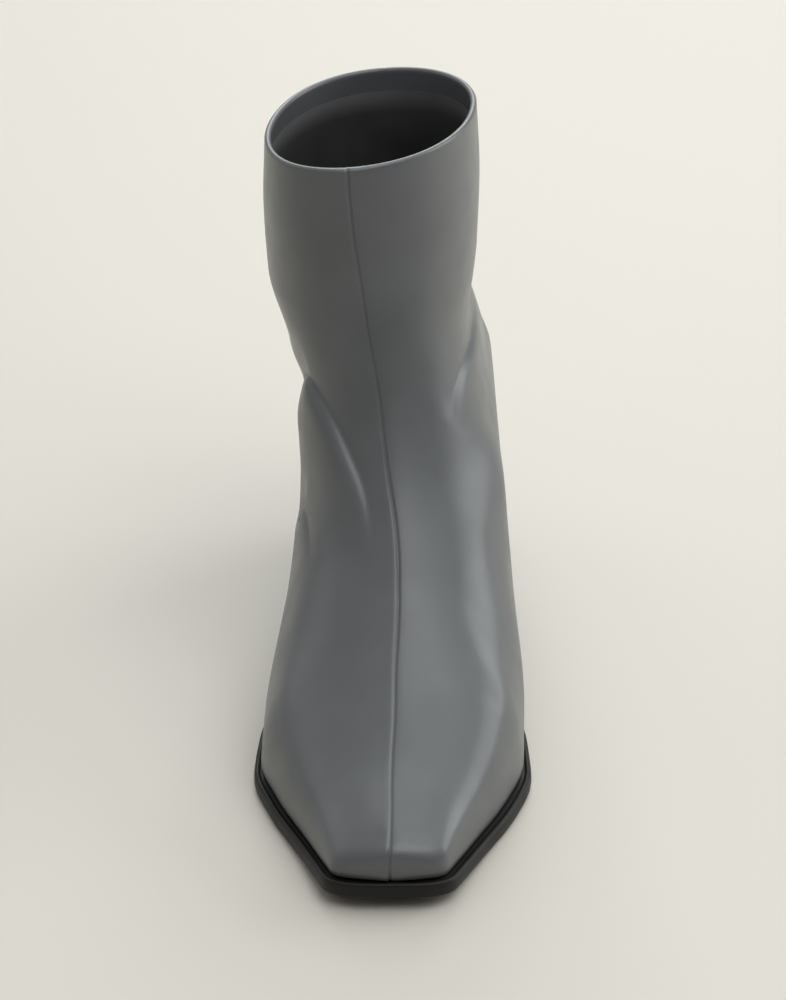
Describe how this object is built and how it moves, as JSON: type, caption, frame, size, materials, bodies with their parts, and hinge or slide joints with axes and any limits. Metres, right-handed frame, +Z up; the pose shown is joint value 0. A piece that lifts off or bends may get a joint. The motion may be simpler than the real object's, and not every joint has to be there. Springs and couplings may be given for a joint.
{
  "type": "square-toe ankle boot",
  "caption": "Right square-toe ankle boot in smooth grey leather with a centre-front seam, a narrow sole ledge and a low block heel, open at the collar.",
  "frame": {"origin": "centre of the boot's box, on the floor", "axes": "+X towards the inner side of the foot, +Y from toe to heel, +Z up"},
  "size_m": [0.0912, 0.2535, 0.1911],
  "materials": {
    "leather": "smooth grey calf leather, soft gloss",
    "lining": "dark matt lining leather",
    "thread": "dark grey waxed thread",
    "insole": "dark matt leather board",
    "sole": "black moulded rubber, satin",
    "heel": "black satin block"
  },
  "bodies": {
    "root": {"upper": "leather", "insole": "insole", "sole": "sole", "heel": "heel"}
  },
  "joints": []
}
